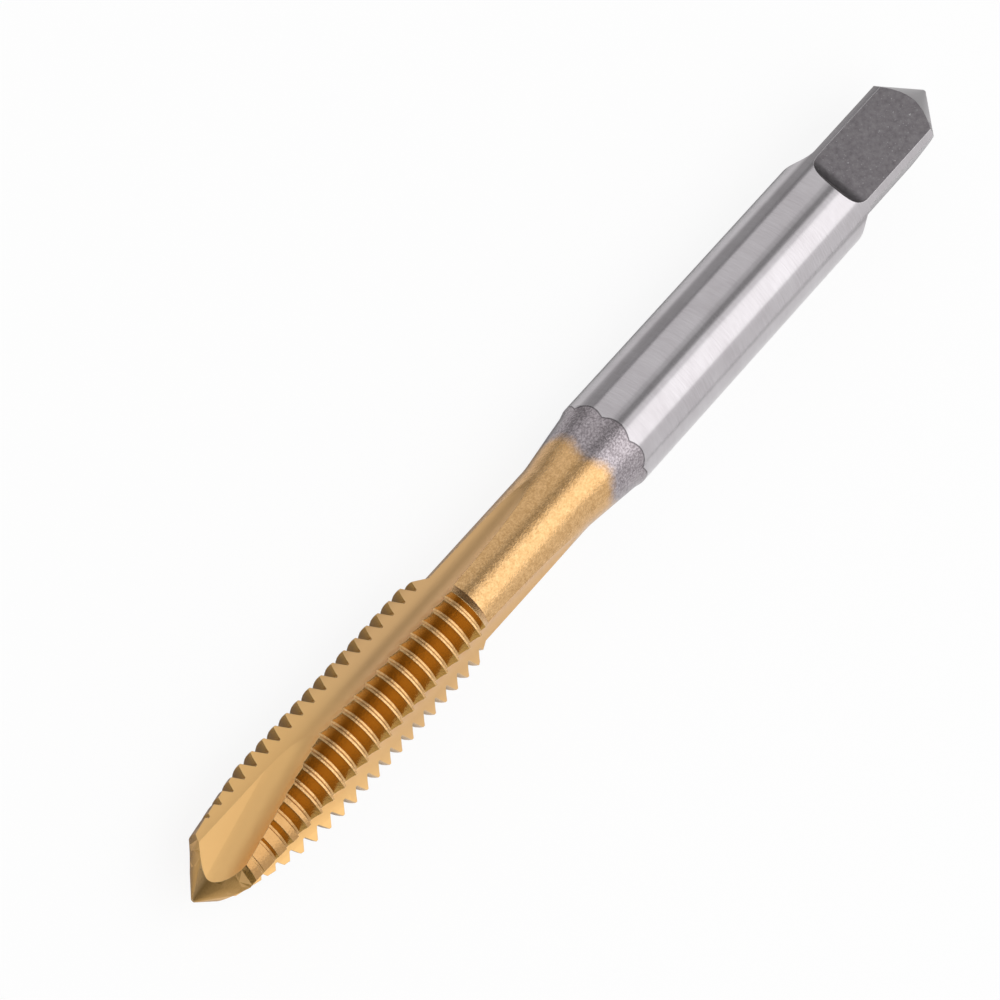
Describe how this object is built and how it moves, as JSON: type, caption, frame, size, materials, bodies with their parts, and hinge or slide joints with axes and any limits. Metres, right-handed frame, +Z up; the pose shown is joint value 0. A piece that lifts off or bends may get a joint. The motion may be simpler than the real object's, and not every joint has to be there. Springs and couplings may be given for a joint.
{
  "type": "thread tap",
  "caption": "Straight-fluted machine tap with a slanted gun nose, waisted neck, ground shank and driving square, for cutting an internal metric thread.",
  "frame": {"origin": "on the floor under the middle of the tool's overall length, straight below its axis, which is 2.95 mm up", "axes": "+X along the axis from the point to the driving square, +Z up through the middle of one land, one flute straight down"},
  "size_m": [0.0688, 0.006, 0.006],
  "materials": {
    "tool_steel": "satin"
  },
  "bodies": {
    "root": {"spiral_point_tap": "tool_steel"}
  },
  "joints": []
}
